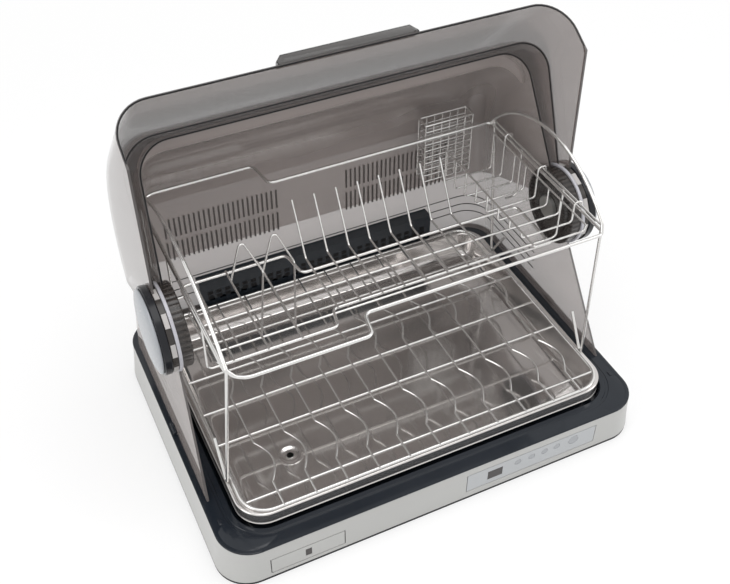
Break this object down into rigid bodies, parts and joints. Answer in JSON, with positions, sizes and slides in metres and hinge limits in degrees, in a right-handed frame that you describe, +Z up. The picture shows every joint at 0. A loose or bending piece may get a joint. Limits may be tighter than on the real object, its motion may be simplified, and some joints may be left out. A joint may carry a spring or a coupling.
{
  "type": "dish sterilizer cabinet",
  "caption": "Low countertop dish steriliser and dryer with wire racks under a drum-shaped smoked cover that swings open about side hubs.",
  "frame": {"origin": "centre of the bounding box in plan, at the underside of the feet", "axes": "+X to the viewer's right of the front panel, +Y from the front to the back, +Z up; the cover is open at rest"},
  "size_m": [0.5172, 0.3832, 0.4425],
  "materials": {
    "silver": "satin silver",
    "black": "glossy blue-black",
    "pale_grey": "satin pale grey",
    "dark_glass": "dark window",
    "smoked": "smoked clear plastic",
    "steel": "polished",
    "hub_silver": "satin",
    "inner_plastic": "moulded",
    "board": "circuit board",
    "rubber": "matt"
  },
  "bodies": {
    "base": {"base_shell": "silver", "cord_inlet": "rubber", "bottom_cover": "inner_plastic", "supply_board": "board", "cover_screw_1": "steel", "cover_screw_2": "steel", "cover_screw_3": "steel", "cover_screw_4": "steel", "cover_screw_5": "steel", "cover_screw_6": "steel", "foot_front_left": "rubber", "foot_front_right": "rubber", "foot_rear_left": "rubber", "foot_rear_right": "rubber", "deck": "black", "rear_duct": "black", "heater": "steel", "fan_housing": "inner_plastic", "fan_motor": "steel", "control_panel": "pale_grey", "display_window": "dark_glass", "control_board": "board", "drawer_rail_left": "inner_plastic", "drawer_rail_right": "inner_plastic", "drain_spout": "rubber", "rear_cover": "smoked", "hub_pin_left": "steel", "hub_pin_right": "steel"},
    "door": {"front_door": "smoked", "door_handle": "smoked", "hub_ring_left": "black", "hub_cap_left": "hub_silver", "hub_ring_right": "black", "hub_cap_right": "hub_silver"},
    "middle": {"mid_cover": "smoked"},
    "drawer": {"water_drawer": "silver", "drawer_grip": "dark_glass"},
    "key_1": {"key_1": "pale_grey"},
    "key_2": {"key_2": "pale_grey"},
    "key_3": {"key_3": "pale_grey"},
    "key_4": {"key_4": "pale_grey"},
    "power_key": {"power_key": "pale_grey"},
    "fan": {"fan_impeller": "inner_plastic"},
    "tray": {"drip_tray": "steel"},
    "lower_rack": {"lower_rack": "steel"},
    "upper_rack": {"upper_rack": "steel"},
    "basket": {"utensil_basket": "steel"},
    "holder": {"cutlery_holder": "steel"}
  },
  "joints": [
    {"name": "door_hinge", "type": "hinge", "parent": "base", "child": "door", "pos_m": [0, -0.0081, 0.215], "axis": [1, 0, 0], "range_deg": [0, 148.4]},
    {"name": "middle_hinge", "type": "hinge", "parent": "base", "child": "middle", "pos_m": [0, -0.0081, 0.215], "axis": [1, 0, 0], "range_deg": [0, 60]},
    {"name": "drawer_slide", "type": "slide", "parent": "base", "child": "drawer", "axis": [0, -1, 0], "range_m": [0, 0.11]},
    {"name": "key_1_press", "type": "slide", "parent": "base", "child": "key_1", "axis": [0, 1, 0], "range_m": [0, 0.0006], "stiffness_N_per_m": 200},
    {"name": "key_2_press", "type": "slide", "parent": "base", "child": "key_2", "axis": [0, 1, 0], "range_m": [0, 0.0006], "stiffness_N_per_m": 200},
    {"name": "key_3_press", "type": "slide", "parent": "base", "child": "key_3", "axis": [0, 1, 0], "range_m": [0, 0.0006], "stiffness_N_per_m": 200},
    {"name": "key_4_press", "type": "slide", "parent": "base", "child": "key_4", "axis": [0, 1, 0], "range_m": [0, 0.0006], "stiffness_N_per_m": 200},
    {"name": "power_key_press", "type": "slide", "parent": "base", "child": "power_key", "axis": [0, 1, 0], "range_m": [0, 0.0006], "stiffness_N_per_m": 200},
    {"name": "fan_spin", "type": "hinge", "parent": "base", "child": "fan", "pos_m": [0.09, 0.0704, 0.016], "axis": [0, 0, 1], "continuous": true},
    {"name": "tray_lift", "type": "slide", "parent": "base", "child": "tray", "axis": [0, 0, 1], "range_m": [0, 0.01]},
    {"name": "lower_rack_lift", "type": "slide", "parent": "tray", "child": "lower_rack", "axis": [0, -0.5, 0.866], "range_m": [0, 0.014]},
    {"name": "upper_rack_lift", "type": "slide", "parent": "tray", "child": "upper_rack", "axis": [0, -0.5, 0.866], "range_m": [0, 0.022]},
    {"name": "basket_lift", "type": "slide", "parent": "upper_rack", "child": "basket", "axis": [0, 0, 1], "range_m": [0, 0.02]},
    {"name": "holder_lift", "type": "slide", "parent": "upper_rack", "child": "holder", "axis": [0, 0, 1], "range_m": [0, 0.012]}
  ],
  "couplings": [
    {"joint": "middle_hinge", "follows": "door_hinge", "ratio": 0.4043}
  ]
}
